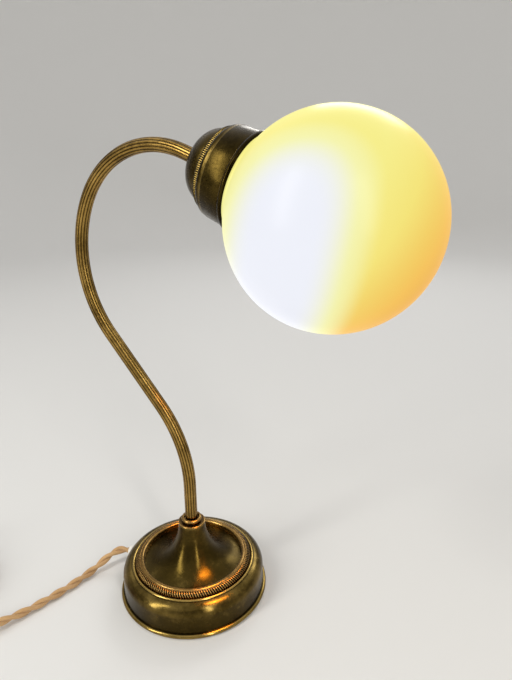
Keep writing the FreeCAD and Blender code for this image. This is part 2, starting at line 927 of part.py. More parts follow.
def coil_edges():
    quarters = round((4 * layer_turns + 1) * 2)
    last = 2 * math.pi * (2 * layer_turns + 0.5)
    stops = [coil_place(last * i / quarters) for i in range(quarters + 1)]
    start, end = stops[0], stops[-1]
    start = (start[0], V(0, 1, 0))
    end = (end[0], V(0, -1, 0))
    stops = [start] + stops[1:-1] + [end]
    edges = []
    for (p0, t0), (p1, t1) in zip(stops, stops[1:]):
        edges += biarc(p0, t0, p1, t1)
    return edges


def cord_coil():
    edges = coil_edges()
    coil = pipe(edges, cord_dia / 2)
    length = sum(edge.Length for edge in edges)
    points = []
    for edge in edges:
        points += edge.discretize(7)[:-1]
    turn = 4 * 6 * 2
    gap = min(points[i].distanceToPoint(points[j])
              for i in range(len(points)) for j in range(i + turn // 2, len(points))) - cord_dia
    ratio = coil.Volume / (length * math.pi * cord_dia**2 / 4)
    print("coil", round(length), "mm, least gap to itself", round(gap, 2), "volume ratio", round(ratio, 4))
    return coil


def coil_tie():
    """Band round the coil's bundle on the side away from the plug."""
    inner_turn = coil_outer - coil_pitch * (layer_turns + 0.25)
    depth = coil_outer - inner_turn + cord_dia + 2 * tie_slack
    low = coil_low - cord_dia / 2 - tie_slack / 2
    high = coil_high + cord_dia / 2 + tie_slack
    middle = (coil_outer + inner_turn) / 2
    hole = Part.Face(slab(depth, high - low, 3.0, 0)).extrude(V(0, 0, tie_width))
    band = Part.Face(slab(depth + 2 * tie_thickness, high - low + 2 * tie_thickness, 3.0 + tie_thickness, 0))
    band = band.extrude(V(0, 0, tie_width)).cut(hole)
    band.translate(V(0, 0, -tie_width / 2))
    band.rotate(V(0, 0, 0), V(1, 0, 0), 90)
    band.rotate(V(0, 0, 0), Z_AXIS, 90)
    band.translate(coil_centre + V(0, middle, (low + high) / 2))
    return band


# ---- in-line switch: made along X and then placed on the cord ----
def on_cord(shape):
    shape.rotate(V(0, 0, 0), Z_AXIS, switch_azimuth)
    shape.translate(switch_centre)
    return shape


def switch_case(low, high):
    """One half of the switch's case, between two heights of the whole rounded case."""
    outside = Part.Face(slab(switch_length, switch_width, switch_corner, 0)).extrude(V(0, 0, switch_height))
    outside = outside.makeFillet(switch_edge, [e for e in outside.Edges
                                               if abs(e.BoundBox.ZMin - e.BoundBox.ZMax) < 1e-6])
    wall = switch_wall
    hollow = Part.Face(slab(switch_length - 2 * wall, switch_width - 2 * wall, switch_corner - wall, wall))
    hollow = hollow.extrude(V(0, 0, switch_height - 2 * wall))
    keep = block(switch_length, switch_width, low, high)
    case = outside.cut(hollow).common(keep)
    for side in (-1, 1):
        at = V(side * switch_screw_spread / 2, 0, 0)
        post = rod(switch_screw / 2 + 1.2, max(low, wall), min(high, switch_height - wall), at)
        case = case.fuse(post)
    return case


def switch_lower():
    case = switch_case(0, switch_height / 2)
    for side in (-1, 1):
        at = V(side * switch_screw_spread / 2, 0, 0)
        case = case.cut(rod(switch_screw / 2 + slip / 2, 0, switch_height / 2, at))
        case = case.cut(rod(switch_screw * 0.9 + slip / 2, 0, 1.2, at))
    return on_cord(case.removeSplitter())


def switch_upper():
    case = switch_case(switch_height / 2, switch_height)
    inside = switch_width / 2 - switch_wall
    window_width = rocker_width / 2 + rocker_gap
    for side in (-1, 1):
        ear = Part.makeBox(2 * ear_radius, inside - window_width, switch_height - switch_wall - pin_height
                           + ear_radius, V(-ear_radius, window_width if side > 0 else -inside,
                                           pin_height - ear_radius))
        case = case.fuse(ear)
    window = block(rocker_length + 6 * rocker_gap, 2 * window_width, switch_height / 2, switch_height)
    case = case.cut(window)
    case = case.cut(Part.makeCylinder(pin_radius, 2 * inside, V(0, -inside, pin_height), V(0, 1, 0)))
    for side in (-1, 1):
        at = V(side * switch_screw_spread / 2, 0, 0)
        case = case.cut(rod(switch_screw / 2 + slip / 2, switch_height / 2, switch_height - 2 * switch_wall,
                            at))
    return on_cord(case.removeSplitter())


def switch_rocker():
    half = rocker_length / 2
    outline = [
        V(-half, 0, -rocker_foot),
        V(half, 0, -rocker_foot),
        V(half, 0, rocker_end_height),
        V(0, 0, rocker_middle_height),
        V(-half, 0, rocker_end_height),
        V(-half, 0, -rocker_foot),
    ]
    body = Part.Face(Part.makePolygon(outline)).extrude(V(0, rocker_width, 0))
    body.translate(V(0, -rocker_width / 2, 0))
    hole = Part.makeCylinder(pin_radius + pin_fit, rocker_width, V(0, -rocker_width / 2, 0), V(0, 1, 0))
    body = body.cut(hole)
    body.rotate(V(0, 0, 0), V(0, 1, 0), rocker_tilt)
    body.translate(V(0, 0, pin_height))
    return on_cord(body)


def rocker_pin():
    reach = switch_width / 2 - switch_wall - slip
    return on_cord(Part.makeCylinder(pin_radius, 2 * reach, V(0, -reach, pin_height), V(0, 1, 0)))


def switch_screws():
    screws = []
    for side in (-1, 1):
        at = V(side * switch_screw_spread / 2, 0, 0)
        shank = rod(switch_screw / 2, 1.0, switch_height - 2 * switch_wall - 0.5, at)
        screws.append(shank.fuse(rod(switch_screw * 0.9, 0, 1.2 - slip, at)).removeSplitter())
    return on_cord(Part.makeCompound(screws))


def switch_terminals():
    blocks = []
    for side in (-1, 1):
        for lane in (-1, 1):
            at = V(side * terminal_spread / 2, lane * (terminal_block.y / 2 + 1), 0)
            blocks.append(block(terminal_block.x, terminal_block.y, switch_wall,
                                switch_wall + terminal_block.z, at))
    return on_cord(Part.makeCompound(blocks))


# ---- plug: made along Z, cord end at 0, and then laid on the coil ----
plug_along = (tail_route[-1] - tail_route[-2]).normalize()
plug_heading = math.degrees(math.atan2(plug_along.y, plug_along.x))
plug_place = FreeCAD.Placement(tail_route[-1], FreeCAD.Rotation(Z_AXIS, plug_heading).multiply(
    FreeCAD.Rotation(V(0, 1, 0), 90)))


def on_tail(shape):
    shape.Placement = plug_place
    return shape


def plug_body():
    sections = [
        slab(plug_tail_thickness, plug_tail_width, plug_round, sleeve_length),
        slab(plug_thickness, plug_width, plug_round, sleeve_length + plug_length - plug_straight),
        slab(plug_thickness, plug_width, plug_round, sleeve_length + plug_length),
    ]
    body = Part.makeLoft(sections, True, True)
    for side in (-1, 1):
        at = V(0, side * pin_spacing / 2, 0)
        face = sleeve_length + plug_length
        body = body.cut(rod(pin_core / 2 + slip / 2, face - pin_root, face, at))
    return on_tail(body)


def plug_sleeve():
    slim = cord_dia / 2 + sleeve_wall / 2
    wide = plug_tail_thickness / 2 - 0.3
    return on_tail(turned((0, 0), (slim, 0), (wide, sleeve_length), (0, sleeve_length)))


def plug_pins():
    pins = []
    for side in (-1, 1):
        at = V(0, side * pin_spacing / 2, 0)
        face = sleeve_length + plug_length
        core = rod(pin_core / 2, face - pin_root, face + pin_insulated, at)
        tip = rod(pin_dia / 2, face + pin_insulated, face + pin_length - 1, at)
        nose = Part.makeCone(pin_dia / 2, pin_dia / 2 - 1, 1, at + V(0, 0, face + pin_length - 1))
        pins.append(core.fuse([tip, nose]).removeSplitter())
    return on_tail(Part.makeCompound(pins))


def plug_pin_collars():
    face = sleeve_length + plug_length
    collars = []
    for side in (-1, 1):
        collar = ring(pin_core / 2 + slip / 2, pin_dia / 2 - 0.3, face, face + pin_insulated)
        collar.translate(V(0, side * pin_spacing / 2, 0))
        collars.append(collar)
    return on_tail(Part.makeCompound(collars))


# ---- all pieces ----
def felt_pad():
    return rod(felt_radius, 0, felt_thickness)


standing = {
    "felt_pad": felt_pad,
    "bottom_plate": bottom_plate,
    "plate_screws": plate_screws,
    "base_weight": base_weight,
    "base_shell": base_shell,
    "base_milled_ring": base_milled_ring,
    "base_trumpet": base_trumpet,
    "base_washer": base_washer,
    "base_locknut": base_locknut,
    "neck_collar": neck_collar,
    "neck_tube": neck_tube,
    "cord_gland": cord_gland,
    "gland_nut": gland_nut_ring,
    "cord_clamp": cord_clamp,
    "inner_flex": inner_flex,
    "coil_tie": coil_tie,
    "cord_coil": cord_coil,
    "switch_lower": switch_lower,
    "switch_upper": switch_upper,
    "switch_rocker": switch_rocker,
    "rocker_pin": rocker_pin,
    "switch_screws": switch_screws,
    "switch_terminals": switch_terminals,
    "plug_body": plug_body,
    "plug_sleeve": plug_sleeve,
    "plug_pins": plug_pins,
    "plug_pin_collars": plug_pin_collars,
}
on_head = {
    "cup_dome": cup_dome,
    "cup_milled_ring": cup_milled_ring,
    "cup_skirt": cup_skirt,
    "holder_cap": holder_cap,
    "holder_barrel": holder_barrel,
    "shade_ring": shade_ring,
    "holder_insulator": holder_insulator,
    "terminal_screws": terminal_screws,
    "socket_shell": socket_shell,
    "socket_contact": socket_contact,
    "bulb_cap": bulb_cap,
    "bulb_insulator": bulb_insulator,
    "bulb_contact": bulb_contact,
    "bulb_glass": bulb_glass,
    "globe_thread_ring": globe_thread_ring,
    "globe_seal": globe_seal,
    "globe": globe,
}
cords = {"cord_lead": lead_route, "cord_link": link_route, "cord_tail": tail_route}

for name, make in standing.items():
    save(make(), name)
for name, make in on_head.items():
    piece = make()
    piece.Placement = head
    save(piece, name)
for name, route in cords.items():
    save(cord_tube(route, name), name)

globe_centre = neck_end + head_axis * globe_distance
print("neck end", neck_end, "head axis", head_axis, "globe centre", globe_centre)
for side in (-1, 1):
    face = sleeve_length + plug_length
    pin_middle = plug_place.multVec(V(0, side * pin_spacing / 2, face + pin_insulated + 4))
    print("plug pin", pin_middle, "along", plug_place.Rotation.multVec(Z_AXIS))
print("switch pin", switch_centre + V(0, 0, pin_height))
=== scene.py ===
import json
import math

import bmesh
import bpy
import numpy as np
from mathutils import Matrix, Vector


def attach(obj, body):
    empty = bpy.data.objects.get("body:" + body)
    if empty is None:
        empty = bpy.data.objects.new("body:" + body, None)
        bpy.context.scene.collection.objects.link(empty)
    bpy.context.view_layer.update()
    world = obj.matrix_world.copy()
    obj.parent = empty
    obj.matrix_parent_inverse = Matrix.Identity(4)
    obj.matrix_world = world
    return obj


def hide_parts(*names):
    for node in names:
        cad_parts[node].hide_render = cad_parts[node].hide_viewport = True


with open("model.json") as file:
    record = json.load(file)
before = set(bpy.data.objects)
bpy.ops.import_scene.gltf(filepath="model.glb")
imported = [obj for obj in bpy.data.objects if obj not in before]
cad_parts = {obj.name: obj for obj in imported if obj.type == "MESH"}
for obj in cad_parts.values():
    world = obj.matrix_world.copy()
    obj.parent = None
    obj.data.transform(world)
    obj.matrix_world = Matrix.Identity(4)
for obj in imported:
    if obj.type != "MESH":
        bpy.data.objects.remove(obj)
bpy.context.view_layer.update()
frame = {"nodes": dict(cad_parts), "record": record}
nodes = frame["nodes"]
MM = 0.001

# ---------------------------------------------------------------- measures, millimetres
ROOT_RADIUS, CREST_RADIUS, REEDS = 4.72, 5.2, 14
SPIGOT_RADIUS, SPIGOT_EDGE, BORE_RADIUS = 4.8, 4.4, 3.8
THROAT_HEIGHT = 65.0  # top of the trumpet
COLLAR_SEAT = 66.0  # where the reeds of the neck begin
LEDGE = 27.2  # shelf of the shell that carries the trumpet and the knurled ring
HEAD_DIP = math.radians(21)
GLOBE_RADIUS, GLOBE_WALL, GLOBE_NECK, GLOBE_DISTANCE = 68.0, 2.2, 28.5, 104.7
CORD_DIAMETER = 7.0
CORE_RADIUS = 1.78
CORE_OFFSET = 1.72
CORD_PITCH = 32.0

# ---------------------------------------------------------------- profiles and meshes
ELLIPSE_HANDLE = 0.5523  # handle of a quarter ellipse, as a share of its half axis
SHARP_TURN, MOST_CUT = 0.4, 0.4  # radians from which a corner is softened, most of a side that goes
LEAST_REACH, WEAR_GAIN = 0.05, 0.9
CREST_WEAR, TOOTH_SINK, REED_SINK = 1.1, 0.25, 0.75
TINY = 1e-6


def outline(start, *moves, steps=14, ease=0.22):
    """Points of a profile. A move is a point for a line or (corner, point) for a quarter ellipse."""
    points = [np.array(start, float)]
    for move in moves:
        here = points[-1]
        if isinstance(move[0], tuple):
            corner, end = np.array(move[0], float), np.array(move[1], float)
            c1, c2 = here + (corner - here) * ELLIPSE_HANDLE, end + (corner - end) * ELLIPSE_HANDLE
            for i in range(1, steps + 1):
                t = i / steps
                points.append((1 - t)**3 * here + 3 * (1 - t)**2 * t * c1 + 3 * (1 - t) * t * t * c2
                              + t**3 * end)
        else:
            points.append(np.array(move, float))
    return soften(points, ease)


def soften(points, ease):
    """Takes the sharp corners of a profile off by a small round."""
    out = [points[0]]
    for before, here, after in zip(points, points[1:], points[2:]):
        a, b = before - here, after - here
        la, lb = np.linalg.norm(a), np.linalg.norm(b)
        if la < TINY or lb < TINY:
            continue
        turn = math.pi - math.acos(np.clip(a @ b / la / lb, -1, 1))
        if turn < SHARP_TURN:
            out.append(here)
            continue
        cut = min(ease, MOST_CUT * la, MOST_CUT * lb)
        p, q = here + a / la * cut, here + b / lb * cut
        for t in (0, 0.35, 0.65, 1):
            out.append((1 - t)**2 * p + 2 * (1 - t) * t * here + t * t * q)
    out.append(points[-1])
    return np.array(out)


def closed_outline(start, *moves, **rounding):
    """The points of a profile that comes back to its start."""
    return outline(start, *moves, start, **rounding)[:-1]


def profile_wear(profile, closed):
    """How far each point of a profile stands out, from -1 in a groove to 1 on an edge."""
    n = len(profile)
    value = np.zeros(n)
    for i in range(n):
        if not closed and i in (0, n - 1):
            continue
        a = profile[i] - profile[i - 1]
        b = profile[(i + 1) % n] - profile[i]
        turn = math.atan2(a[0] * b[1] - a[1] * b[0], a @ b)
        reach = max((np.linalg.norm(a) + np.linalg.norm(b)) / 2, LEAST_REACH)
        value[i] = np.clip(turn / reach * WEAR_GAIN, -1, 1)
    smooth = value.copy()
    for i in range(1, n - 1):
        smooth[i] = (value[i - 1] + 2 * value[i] + value[i + 1]) / 4
    return smooth


def grid_mesh(name, rows, wrap_rows=False, wear=None, uv=None):
    """Mesh of a grid of points: rows of rings, each ring closed. Metres."""
    rows = np.asarray(rows, float)
    count, ring, _ = rows.shape
    faces = []
    for i in range(count if wrap_rows else count - 1):
        low, high = i * ring, (i + 1) % count * ring
        for j in range(ring):
            k = (j + 1) % ring
            faces.append((low + j, low + k, high + k, high + j))
    mesh = bpy.data.meshes.new(name)
    mesh.from_pydata(rows.reshape(-1, 3).tolist(), [], faces)
    mesh.polygons.foreach_set("use_smooth", [True] * len(mesh.polygons))
    if wear is not None:
        layer = mesh.attributes.new("wear", "FLOAT", "POINT")
        wear = np.asarray(wear, float)
        values = np.repeat(wear, ring) if wear.ndim == 1 else wear.ravel()
        layer.data.foreach_set("value", values.astype(np.float32))
    if uv is not None:
        layer = mesh.uv_layers.new(name="along")
        along, around = uv
        loops = []
        for i in range(count if wrap_rows else count - 1):
            for j in range(ring):
                u0, u1 = along[i], along[i + 1]
                v0, v1 = around * j / ring, around * (j + 1) / ring
                loops += [u0, v0, u0, v1, u1, v1, u1, v0]
        layer.data.foreach_set("uv", loops)
    mesh.validate()
    mesh.update()
    return mesh


def add(name, mesh, body, made, replaced):
    """A piece on its body, in the place of the CAD nodes named last."""
    piece = bpy.data.objects.new(name, mesh)
    bpy.context.scene.collection.objects.link(piece)
    piece.data.materials.append(made)
    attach(piece, body)
    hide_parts(*replaced)
    return piece


def lathe(profile, segments, closed=False, teeth=None):
    """Rings of a turned piece round Z, in millimetres, and the profile's wear.

    Teeth are their count, their depth, their slant in radians per millimetre of the profile, and
    the share of the depth at each of its points: above 0 they are cut in, below 0 they stand out.
    """
    profile = np.asarray(profile, float)
    angle = np.linspace(0, 2 * math.pi, segments, endpoint=False)
    radius = np.repeat(profile[:, :1], segments, axis=1)
    height = np.repeat(profile[:, 1:], segments, axis=1)
    if teeth:
        count, depth, slant, mask = teeth
        step = np.roll(profile, -1, axis=0) - np.roll(profile, 1, axis=0)
        step[0], step[-1] = profile[1] - profile[0], profile[-1] - profile[-2]
        length = np.maximum(np.linalg.norm(step, axis=1), 1e-9)
        normal = np.stack([step[:, 1] / length, -step[:, 0] / length], axis=1)
        run = np.r_[0, np.cumsum(np.linalg.norm(np.diff(profile, axis=0), axis=1))]
        phase = angle[None, :] * count + run[:, None] * slant
        wave = (np.cos(phase) - 1) / 2 * depth * np.asarray(mask)[:, None]
        radius = radius + wave * normal[:, :1]
        height = height + wave * normal[:, 1:]
    rows = np.stack([radius * np.cos(angle), radius * np.sin(angle), height], axis=2)
    wear = profile_wear(profile, closed)
    if teeth:
        cut = np.abs(np.asarray(mask))[:, None]
        wear = wear[:, None] * (1 - cut) + cut * (CREST_WEAR * np.cos(phase) - TOOTH_SINK)
    return rows, wear


def placed(rows, matrix):
    """Rows of millimetre points, moved by the matrix in millimetres, in metres."""
    turn = np.array(matrix.to_3x3())
    shift = np.array(matrix.translation)
    return (np.asarray(rows) @ turn.T + shift) * MM


def frame_at(place, *directions):
    """Matrix that puts X, Y and Z along the three directions, at the place."""
    return Matrix.Translation(place) @ Matrix(directions).transposed().to_4x4()


def turned(name, profile, segments, place, made, replaced, teeth=None, wear_sign=1):
    """A turned piece of the stand. A wear sign of -1 darkens the edges and brightens the grooves."""
    rows, wear = lathe(profile, segments, closed=True, teeth=teeth)
    mesh = grid_mesh(name, placed(rows, place), True, wear * wear_sign)
    return add(name, mesh, "stand", made, replaced)


def walk(start, heading, moves, pitch=1.4):
    """Points and headings of a path in the XZ plane. A move is (length,) or (radius, angle)."""
    points, headings = [np.array(start, float)], [heading]
    angle = heading
    for move in moves:
        here = points[-1]
        if len(move) == 1:
            length, turn = move[0], 0.0
        else:
            turn = math.radians(move[1])
            length = abs(turn) * move[0]
        count = max(2, round(length / pitch))
        for i in range(1, count + 1):
            if turn:
                side = math.copysign(1, turn)
                now = angle + turn * i / count
                centre = here + np.array([-math.sin(angle), 0, math.cos(angle)]) * move[0] * side
                place = centre - np.array([-math.sin(now), 0, math.cos(now)]) * move[0] * side
            else:
                now = angle
                place = here + np.array([math.cos(angle), 0, math.sin(angle)]) * (length * i / count)
            points.append(place)
            headings.append(now)
        angle += turn
    return np.array(points), np.array(headings)


# ---------------------------------------------------------------- materials
def material(name, **sockets):
    made = bpy.data.materials.new(name)
    made.use_nodes = True
    shader = made.node_tree.nodes["Principled BSDF"]
    for key, value in sockets.items():
        shader.inputs[key.replace("_", " ")].default_value = value
    return made, shader


def node(made, kind, inputs=None, **settings):
    new = made.node_tree.nodes.new("ShaderNode" + kind)
    for key, value in settings.items():
        setattr(new, key, value)
    for key, value in (inputs or {}).items():
        if isinstance(value, bpy.types.NodeSocket):
            made.node_tree.links.new(value, new.inputs[key])
        else:
            new.inputs[key].default_value = value
    return new


def link(made, output, target):
    made.node_tree.links.new(output, target)


def ramp(made, factor, stops, interpolation="LINEAR"):
    new = node(made, "ValToRGB", {"Fac": factor})
    new.color_ramp.interpolation = interpolation
    elements = new.color_ramp.elements
    while len(elements) < len(stops):
        elements.new(0.5)
    for element, (place, colour) in zip(elements, stops):
        element.position = place
        element.color = (*colour, 1)
    return new.outputs["Color"]


def noise(made, scale, detail, roughness=0.55):
    coords = node(made, "TexCoord").outputs["Object"]
    return node(made, "TexNoise", {"Vector": coords, "Scale": scale, "Detail": detail,
                                   "Roughness": roughness}).outputs["Fac"]


def math_node(made, operation, a, b=0.0, clamp=False):
    return node(made, "Math", {0: a, 1: b}, operation=operation, use_clamp=clamp).outputs[0]


def plus_share(made, tone, value, share, clamp=False):
    """The tone plus a share of another value."""
    return math_node(made, "ADD", tone, math_node(made, "MULTIPLY", value, share), clamp=clamp)


def mix(made, factor, a, b, blend="MIX"):
    new = node(made, "Mix", data_type="RGBA", blend_type=blend)
    for socket, value in ((new.inputs[0], factor), (new.inputs[6], a), (new.inputs[7], b)):
        if isinstance(value, bpy.types.NodeSocket):
            link(made, value, socket)
        else:
            socket.default_value = (*value, 1) if isinstance(value, tuple) else value
    return new.outputs[2]


def bump(made, shader, height, strength, distance):
    new = node(made, "Bump", {"Height": height, "Strength": strength, "Distance": distance})
    link(made, new.outputs["Normal"], shader.inputs["Normal"])


def aged_brass(name, tones, rough=(0.16, 0.34), grain=1.0, spun=0.0):
    """Old polished brass: dark lacquer in the hollows, bare metal on the edges, fine scratches."""
    made, shader = material(name, Metallic=1.0, IOR=1.45, Anisotropic=spun, Anisotropic_Rotation=0.25)
    if spun:
        tangent = node(made, "Tangent", direction_type="RADIAL", axis="Z").outputs[0]
        link(made, tangent, shader.inputs["Tangent"])
    cloud = noise(made, scale=38.0, detail=5.0, roughness=0.6)
    spots = noise(made, scale=420.0, detail=3.0, roughness=0.6)
    wear = node(made, "Attribute", attribute_name="wear").outputs["Fac"]
    tone = math_node(made, "MULTIPLY", wear, 0.55)
    tone = plus_share(made, tone, cloud, 0.7)
    tone = plus_share(made, tone, spots, 0.12, clamp=True)
    tone = math_node(made, "ADD", tone, 0.05, clamp=True)
    dark, mid, bright = tones
    link(made, ramp(made, tone, [(0.12, dark), (0.46, mid), (0.95, bright)]), shader.inputs["Base Color"])
    rough_value = node(made, "MapRange", {"Value": spots, "From Min": 0.3, "From Max": 0.7,
                                          "To Min": rough[0], "To Max": rough[1]}).outputs[0]
    link(made, rough_value, shader.inputs["Roughness"])
    fine = noise(made, scale=1500.0, detail=2.0, roughness=0.7)
    bump(made, shader, fine, strength=0.10 * grain, distance=0.0002)
    return made


def speckled(name, base, dark, scale, roughness, depth=0.1, metallic=0.0):
    """A material in two near tones, with a fine grain of the given scale and depth."""
    made, shader = material(name, Roughness=roughness, Metallic=metallic)
    grain = noise(made, scale, detail=4.0, roughness=0.6)
    link(made, ramp(made, grain, [(0.3, dark), (0.7, base)]), shader.inputs["Base Color"])
    bump(made, shader, grain, strength=depth, distance=0.0003)
    return made


# tones of the brass, from the hollows to the edges
BRASS_TONES = (0.010, 0.0065, 0.0015), (0.058, 0.038, 0.008), (0.40, 0.27, 0.075)
WARM_TONES = (0.012, 0.006, 0.002), (0.075, 0.042, 0.012), (0.42, 0.25, 0.075)
TUBE_TONES = (0.008, 0.0045, 0.0012), (0.100, 0.058, 0.012), (0.70, 0.44, 0.12)
brass = aged_brass("aged_brass", BRASS_TONES)
brass_spun = aged_brass("aged_brass_spun", BRASS_TONES, rough=(0.18, 0.29), grain=0.8, spun=0.8)
brass_warm = aged_brass("aged_brass_warm", WARM_TONES)
brass_tube = aged_brass("aged_brass_tube", TUBE_TONES)
# base tone, dark tone, scale of the grain, roughness, depth of the grain
plain_brass = speckled("plain_brass", (0.70, 0.52, 0.22), (0.50, 0.36, 0.13), 90, 0.28, 0.05, metallic=1.0)
zinc = speckled("zinc_steel", (0.55, 0.56, 0.58), (0.42, 0.42, 0.43), 160, 0.36, 0.08, metallic=1.0)
cast_iron = speckled("cast_iron", (0.055, 0.055, 0.058), (0.02, 0.02, 0.021), 700, 0.62, 0.5)
felt = speckled("felt", (0.03, 0.09, 0.05), (0.012, 0.045, 0.024), 1400, 0.95, 0.8)
white_plastic = speckled("white_plastic", (0.86, 0.84, 0.79), (0.80, 0.775, 0.72), 300, 0.33, 0.03)
dark_plastic = speckled("dark_plastic", (0.03, 0.028, 0.026), (0.016, 0.015, 0.014), 500, 0.5)
bakelite = speckled("bakelite", (0.035, 0.026, 0.020), (0.012, 0.010, 0.008), 60, 0.22, 0.03)
porcelain = speckled("porcelain", (0.85, 0.83, 0.78), (0.77, 0.745, 0.69), 120, 0.18, 0.03)
nickel = speckled("nickel", (0.72, 0.70, 0.66), (0.60, 0.58, 0.54), 200, 0.18, 0.03, metallic=1.0)
lamp_cap = speckled("lamp_cap", (0.78, 0.78, 0.77), (0.62, 0.62, 0.61), 260, 0.30, 0.05, metallic=1.0)
black_glass = speckled("black_glass", (0.012, 0.012, 0.014), (0.006, 0.006, 0.007), 200, 0.08, 0.01)
seal_rubber = speckled("seal_rubber", (0.028, 0.027, 0.026), (0.014, 0.014, 0.013), 900, 0.7, 0.3)
sheath = speckled("flex_sheath", (0.66, 0.55, 0.36), (0.58, 0.47, 0.29), 400, 0.4, 0.05)
tie_band = speckled("tie_band", (0.70, 0.66, 0.56), (0.52, 0.48, 0.39), 1800, 0.9, 0.8)
glow_bulb, bulb_shader = material("glow_bulb", Base_Color=(0.9, 0.86, 0.78, 1), Roughness=0.35,
                                  Emission_Strength=0.8)
link(glow_bulb, ramp(glow_bulb, noise(glow_bulb, scale=25.0, detail=2.0),
                     [(0.3, (1.0, 0.80, 0.50)), (0.7, (1.0, 0.88, 0.64))]),
     bulb_shader.inputs["Emission Color"])

CAD_MATERIALS = {
    "cast_iron": cast_iron, "zinc_steel": zinc, "felt": felt, "white_plastic": white_plastic,
    "dark_plastic": dark_plastic, "bakelite": bakelite, "porcelain": porcelain,
    "bare_brass": plain_brass, "nickel": nickel, "lamp_cap": lamp_cap, "black_glass": black_glass,
    "frosted_glass": glow_bulb, "seal_rubber": seal_rubber, "flex_sheath": sheath,
    "tie_plastic": tie_band, "aged_brass": brass,
}
for part in frame["record"]["subparts"]:
    if part["material_slot"] in CAD_MATERIALS:
        mesh = nodes[part["node"]].data
        mesh.materials.clear()
        mesh.materials.append(CAD_MATERIALS[part["material_slot"]])

# ---------------------------------------------------------------- camera
CAMERA_PLACE = Vector((0.2413, -0.3189, 0.3644))
CAMERA_FORWARD = Vector((-0.4589, 0.8280, -0.3223)).normalized()
CAMERA_ROLL = math.radians(-0.33)
SENSOR_HEIGHT, LENS = 36.0, 28.85
level = CAMERA_FORWARD.cross(Vector((0, 0, 1))).normalized()
above = level.cross(CAMERA_FORWARD)
right = level * math.cos(CAMERA_ROLL) + above * math.sin(CAMERA_ROLL)
up = right.cross(CAMERA_FORWARD)
camera = bpy.data.objects.new("camera", bpy.data.cameras.new("camera"))
camera.data.sensor_fit = "VERTICAL"
camera.data.sensor_height = SENSOR_HEIGHT
camera.data.lens = LENS
camera.matrix_world = frame_at(CAMERA_PLACE, right, up, -CAMERA_FORWARD)
bpy.context.scene.collection.objects.link(camera)
bpy.context.scene.camera = camera


# ---------------------------------------------------------------- cord
def spline_points(route, resolution):
    """Points of the NURBS curve with the route as its control points, read from its mesh."""
    curve = bpy.data.curves.new("route", "CURVE")
    curve.dimensions = "3D"
    spline = curve.splines.new("NURBS")
    spline.points.add(len(route) - 1)
    for point, place in zip(spline.points, route):
        point.co = (*[v * MM for v in place], 1)
    spline.order_u = 3
    spline.use_endpoint_u = True
    spline.resolution_u = resolution
    holder = bpy.data.objects.new("route", curve)
    bpy.context.scene.collection.objects.link(holder)
    bpy.context.view_layer.update()
    mesh = bpy.data.meshes.new_from_object(holder)
    points = np.array([v.co for v in mesh.vertices])
    bpy.data.objects.remove(holder)
    bpy.data.curves.remove(curve)
    bpy.data.meshes.remove(mesh)
    keep = np.r_[True, np.linalg.norm(np.diff(points, axis=0), axis=1) > TINY]
    return points[keep]


def even(points, pitch):
    """The same line with points an even distance apart."""
    run = np.r_[0, np.cumsum(np.linalg.norm(np.diff(points, axis=0), axis=1))]
    count = max(8, round(run[-1] / pitch))
    at = np.linspace(0, run[-1], count + 1)
    return np.stack([np.interp(at, run, points[:, i]) for i in range(3)], axis=1), at


def carried_frames(points):
    """Tangents and a pair of side directions that don't twist along the line."""
    tangent = np.gradient(points, axis=0)
    tangent /= np.linalg.norm(tangent, axis=1)[:, None]
    side = np.cross(tangent[0], (0, 0, 1.0))
    side /= np.linalg.norm(side)
    sides = [side]
    for t in tangent[1:]:
        side = sides[-1] - t * (sides[-1] @ t)
        sides.append(side / np.linalg.norm(side))
    sides = np.array(sides)
    return tangent, sides, np.cross(tangent, sides)


def tube(path, radius, ring):
    """Rows of a round tube along a path, with closed ends, in metres."""
    tangent, side, over = carried_frames(path)
    angle = np.linspace(0, 2 * math.pi, ring, endpoint=False)
    circle = (side[:, None, :] * np.cos(angle)[None, :, None]
              + over[:, None, :] * np.sin(angle)[None, :, None])
    rows = path[:, None, :] + circle * radius
    start = np.repeat(path[:1, None, :], ring, axis=1)
    end = np.repeat(path[-1:, None, :], ring, axis=1)
    return np.concatenate([start, rows, end])


def joined(name, meshes):
    """One mesh of several, with the first one's layers."""
    work = bmesh.new()
    for mesh in meshes:
        work.from_mesh(mesh)
    result = bpy.data.meshes.new(name)
    work.to_mesh(result)
    work.free()
    for mesh in meshes:
        bpy.data.meshes.remove(mesh)
    return result


CORD_STEP, CORE_SIDES = 0.0011, 14


def twisted_cord(name, route, resolution, replaced, start_phase=0.0):
    """Two cloth-covered cores twisted round each other along the route."""
    centre, run = even(spline_points(route, resolution), CORD_STEP)
    tangent, side, over = carried_frames(centre)
    meshes = []
    for core in (0, math.pi):
        phase = run / (CORD_PITCH * MM) * 2 * math.pi + core + start_phase
        offset = side * np.cos(phase)[:, None] + over * np.sin(phase)[:, None]
        strand = centre + offset * CORE_OFFSET * MM
        rows = tube(strand, CORE_RADIUS * MM, CORE_SIDES)
        along = np.r_[run[0], run, run[-1]] / MM
        meshes.append(grid_mesh(name, rows, uv=(along, 1.0)))
    piece = add(name, joined(name, meshes), "stand", cloth, replaced)
    return piece, centre


YARNS_ROUND, YARN_PITCH = 9, 1.5


